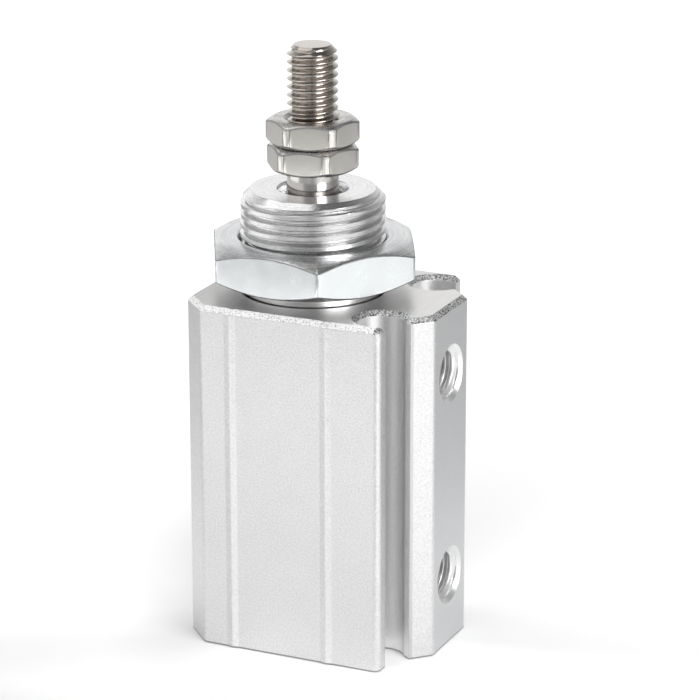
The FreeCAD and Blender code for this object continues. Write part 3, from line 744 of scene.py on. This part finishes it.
def hexagonNut(name, flats, turned, nut, steps=12):
    reach = nut["flats"] / sqrt(3)
    corners = []
    for number in range(6):
        turn = radians(nut["turn"] + 60 * number)
        following = turn + pi / 3
        corners.append((reach * cos(turn), reach * sin(turn), nut["corner"]))
        for step in range(1, steps):
            share = step / steps
            corners.append((
                reach * (cos(turn) * (1 - share) + cos(following) * share),
                reach * (sin(turn) * (1 - share) + sin(following) * share)))
    outline = softened(corners)
    shell = Shell()

    def circle(radius, level):
        return shell.ring([(radius * x / hypot(x, y), radius * y / hypot(x, y), level) for x, y in outline])

    def side(pull, fall, upper):  # pulled in from the flats, and along the axis from the cone
        places = []
        for x, y in outline:
            far = hypot(x, y)
            shrink = (far - pull) / far
            cone = max(0.0, far - pull - nut["face"]) / sqrt(3) + fall
            places.append((x * shrink, y * shrink, nut["high"] - cone if upper else nut["low"] + cone))
        return shell.ring(places)

    low, high, edge, mouth, face = nut["low"], nut["high"], nut["edge"], nut["bore"] + nut["sink"], nut["face"] - 0.04
    rings = [
        circle(nut["bore"], low + nut["sink"]), circle(mouth, low), circle(face, low),
        side(edge, 0.0, False), side(0.0, edge, False), side(0.0, edge, True), side(edge, 0.0, True),
        circle(face, high), circle(mouth, high), circle(nut["bore"], high - nut["sink"]),
    ]
    # the narrow bands between flats and cones take the dark edge material: a painted shade line
    flat, cone, shadedBand = 0, 1, 2
    paints = [cone, cone, cone, shadedBand, flat, shadedBand, cone, cone, cone, cone]
    for lower, upper, paint in zip(rings, rings[1:] + rings[:1], paints):
        shell.bridge(lower, upper, paint)
    return weighted(shell.mesh(name, [flats, turned, shadedNutEdge], 40.0))


for name, flats, turned, nut, body, node in (
    ("mountingNutHex", nutZinc, turnedZinc, mountingNut, "mounting_nut", "mounting_nut"),
    ("lowerRodNutHex", nutNickel, turnedNickel, lowerRodNut, "lower_nut", "rod_nut_lower"),
    ("upperRodNutHex", nutNickel, turnedNickel, upperRodNut, "upper_nut", "rod_nut_upper"),
):
    fitted(name, hexagonNut(name, flats, turned, nut), body, node)
print("nuts made")


insideLooks = {  # the pieces inside keep their solids
    "front_cover_o_ring": blackRubber, "rod_bush": bushBronze, "rod_seal": blackRubber,
    "front_bumper": blackRubber, "rear_bumper": blackRubber, "rear_cover": coverMetal,
    "rear_cover_o_ring": blackRubber, "rear_snap_ring": springSteel, "piston_seal": blackRubber,
    "wear_ring": wearPlastic, "piston_front": coverMetal, "piston_rear": coverMetal,
    "magnet_ring": magnetBlack, "piston_o_ring": blackRubber, "piston_nut": nutZinc,
}
for node, look in insideLooks.items():
    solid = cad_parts[node]
    solid.data.materials.clear()
    solid.data.materials.append(look)
print("inside pieces painted")


view = {
    "azimuth": 24.542, "elevation": 17.916, "roll": -0.045, "distance": 0.31643, "lens": 168.32,
    "aim": (0.003887, 0.0, 0.028656),
}
floorGlow = {  # strength of each bright patch
    "round": 0.03, "right": 0.36, "left": 0.78, "front": 0.9, "leftFar": 0.25, "farLeft": 2.3,
    "nearLeft": 0.12, "nearRight": 0.18, "strip": 0.35, "foot": 0.10,
}
floorShade = {  # share that each patch takes from the pale grey
    "tone": 0.90, "rightBack": 0.4, "leftBack": 0.05, "eyeSide": 0.42, "eyeNear": 0.25, "rightEnd": 0.45,
    "rightSide": 0.22,
}
# where each patch begins and ends, by degrees round the object or by millimetres
floorPatches = {
    "near": {"distance": (None, (130.0, 260.0))},
    "eyeSide": {"azimuth": ((-50.0, -6.0), (28.0, 66.0)), "distance": ((92.0, 126.0), None)},
    "eyeNear": {"azimuth": ((10.0, 22.0), (26.0, 40.0)), "behind": (None, (-40.0, -28.0))},
    "rightEnd": {"azimuth": ((96.0, 122.0), (122.0, 150.0)), "distance": ((100.0, 136.0), None)},
    "rightSide": {"azimuth": ((40.0, 90.0), None), "distance": ((90.0, 126.0), None)},
    "rightBack": {"rightOut": ((1.0, 15.0), None), "behind": ((-26.0, 6.0), None), "distance": (None, (105.0, 140.0))},
    "leftBack": {"leftOut": ((0.0, 20.0), None), "behind": ((-30.0, 10.0), None), "distance": (None, (105.0, 140.0))},
    "rightFront": {"aside": ((5.0, 45.0), None), "behind": (None, (-40.0, -15.0))},
    "leftFront": {"left": ((32.0, 50.0), None), "behind": (None, (-20.0, 5.0))},
    "leftFar": {"leftOut": ((0.0, 12.0), None), "behind": ((5.0, 30.0), None), "distance": (None, (105.0, 130.0))},
    "front": {
        "azimuth": ((-30.0, 6.0), (9.0, 16.0)), "behind": (None, (-45.0, -30.0)), "distance": (None, (94.0, 112.0)),
    },
    "farLeft": {"azimuth": ((-100.0, -72.0), (-62.0, -30.0)), "distance": ((122.0, 152.0), (180.0, 300.0))},
    "nearLeft": {"left": ((9.0, 15.0), None), "behind": ((-6.0, 4.0), None), "distance": (None, (45.0, 90.0))},
    "nearRight": {"azimuth": ((25.0, 50.0), (85.0, 110.0)), "distance": (None, (35.0, 70.0))},
    "strip": {"rightOut": (None, (0.0, 9.0)), "leftOut": (None, (0.0, 9.0)), "behind": ((-27.0, -14.0), None)},
}


def paleFloor():  # bright round the object and behind it, dimmer beyond the picture
    material, spot = newMaterial("paleFloor")
    x, y = spot.split()[:2]
    turn = radians(view["azimuth"])
    aside = x * cos(turn) + y * sin(turn)
    behind = y * cos(turn) - x * sin(turn)
    distance = (x * x + y * y) ** 0.5
    halfWidth = 39.0 + behind * 0.11  # of the picture
    measures = {
        "aside": aside, "left": 0.0 - aside, "rightOut": aside - halfWidth, "leftOut": 0.0 - aside - halfWidth,
        "behind": behind, "distance": distance, "azimuth": x.math("ARCTAN2", x, 0.0 - y) * (180.0 / pi),
    }

    def patch(name):
        parts = []
        for measure, (rise, fall) in floorPatches[name].items():
            if rise:
                parts.append(measures[measure].soft(*rise))
            if fall:
                parts.append(1.0 - measures[measure].soft(*fall))
        share = parts[0]
        for part in parts[1:]:
            share = share * part
        return share

    patches = {name: patch(name) for name in floorPatches}
    glow = {name: patches[name] * floorGlow[name] for name in ("leftFar", "farLeft", "nearLeft", "nearRight")}
    nearer = 0.4 + distance.soft(40.0, 92.0) * 0.6
    right = patches["rightFront"] * (1.0 - distance.soft(85.0, 110.0) * 0.8) * floorGlow["right"]
    left = patches["leftFront"] * (1.0 - distance.soft(100.0, 114.0) * 0.85) * floorGlow["left"]
    bright = right + (left + patches["front"] * floorGlow["front"]) * nearer + floorGlow["round"]
    bright = patches["near"] * (1.0 - patches["rightBack"]) * (1.0 - patches["leftBack"] * 0.5) * bright
    bright = bright + glow["leftFar"] + glow["farLeft"] + glow["nearRight"]
    bright = bright * (1.0 - patches["eyeSide"]) * (1.0 - patches["rightEnd"]) * (1.0 - patches["eyeNear"] * 0.5)
    foot = 1.0 + behind.soft(-12.0, 12.0) * 2.0 + measures["left"].soft(10.0, 22.0) * 1.9
    strip = patches["strip"] * (floorGlow["strip"] * behind.soft(10.0, 110.0) + floorGlow["foot"] * foot)
    bright = bright.math("MAXIMUM", bright, strip) + glow["nearLeft"]

    patches["rightBack"] = patches["rightBack"] * (1.0 - distance.soft(60.0, 100.0))
    shade = 0.70 + ((x * 0.906 - y * 0.423) / distance).soft(-0.45, 0.45) * 0.36  # darker behind
    for name in ("rightBack", "leftBack", "eyeSide", "eyeNear", "rightEnd", "rightSide"):
        shade = shade * (1.0 - patches[name] * floorShade[name])
    return surface(material, spot, {
        "Base Color": shade.blend(grey(0.0), grey(floorShade["tone"])), "Roughness": 0.9, "Specular IOR Level": 0.0,
        "Emission Color": bright.blend(grey(0.0), grey(1.0)), "Emission Strength": 1.0,
    })


floorHalf = 900.0
floorShell = Shell()
floorSides = ((-1, -1), (1, -1), (1, 1), (-1, 1))
floorShell.lid([floorShell.ring([(x * floorHalf, y * floorHalf, 0.0) for x, y in floorSides])])
floor = linked("studioFloor", floorShell.mesh("studioFloor", [paleFloor()]))

skyGlow = {"tone": 1.18, "overhead": -0.85, "away": -0.6, "ahead": -0.6, "left": 0.7, "right": 0.3}
world = bpy.data.worlds.new("studioLight")
bpy.context.scene.world = world
world.use_nodes = True
world.node_tree.nodes.clear()
sky = Wire(world.node_tree)
x, y, upward = sky.add("ShaderNodeTexCoord", output="Generated").split()
overhead = 1.0 + upward.ramp(0.3, 0.85) * skyGlow["overhead"]
away = 1.0 + (x * 0.766 + y * 0.643).ramp(0.3, 0.95) * skyGlow["away"]  # dimmer behind on the right
ahead = 1.0 + (x * 0.31 - y * 0.95).soft(0.55, 0.98) * skyGlow["ahead"]  # and on the camera's side
sides = 1.0 + (0.0 - x * 0.87 - y * 0.5).soft(0.6, 0.98) * skyGlow["left"]
sides = sides + (x * 0.98 - y * 0.17).soft(0.6, 0.98) * skyGlow["right"]
glow = (overhead * away * ahead * sides).blend(grey(0.0), grey(skyGlow["tone"]))
lit = sky.add("ShaderNodeBackground", {}, {"Color": glow, "Strength": 1.0})
sky.add("ShaderNodeOutputWorld", {}, {"Surface": lit})

softboxes = {
    "rightSoftbox": {"azimuth": 65.0, "elevation": 28.0, "distance": 0.40, "size": 0.26, "power": 1.2},
    "upperLeftSoftbox": {"azimuth": -52.0, "elevation": 60.0, "distance": 0.60, "size": 0.60, "power": 1.3},
}


def sightline(place):  # from the object towards a lamp or the camera
    around, up = radians(place["azimuth"]), radians(place["elevation"])
    return Vector((sin(around) * cos(up), -cos(around) * cos(up), sin(up)))


for name, box in softboxes.items():
    lamp = bpy.data.lights.new(name, "AREA")
    lamp.shape = "SQUARE"
    lamp.size = box["size"]
    lamp.energy = box["power"]
    holder = linked(name, lamp)
    holder.location = Vector((0.004, 0.0, 0.028)) + sightline(box) * box["distance"]
    holder.rotation_euler = sightline(box).to_track_quat("Z", "Y").to_euler()

back = sightline(view)
around = radians(view["azimuth"])
right = Vector((cos(around), sin(around), 0.0))
eye = linked("photoEye", bpy.data.cameras.new("photoEye"))
eye.data.lens = view["lens"]
eye.data.sensor_width = 36.0
eye.data.clip_start = 0.01
eye.data.clip_end = 10.0
turning = Matrix((right, back.cross(right), back)).transposed().to_4x4()
turning = turning @ Matrix.Rotation(radians(view["roll"]), 4, "Z")
eye.matrix_world = Matrix.Translation(Vector(view["aim"]) + back * view["distance"]) @ turning
bpy.context.scene.camera = eye
bpy.context.scene.view_settings.view_transform = "Standard"
print("studio lit")
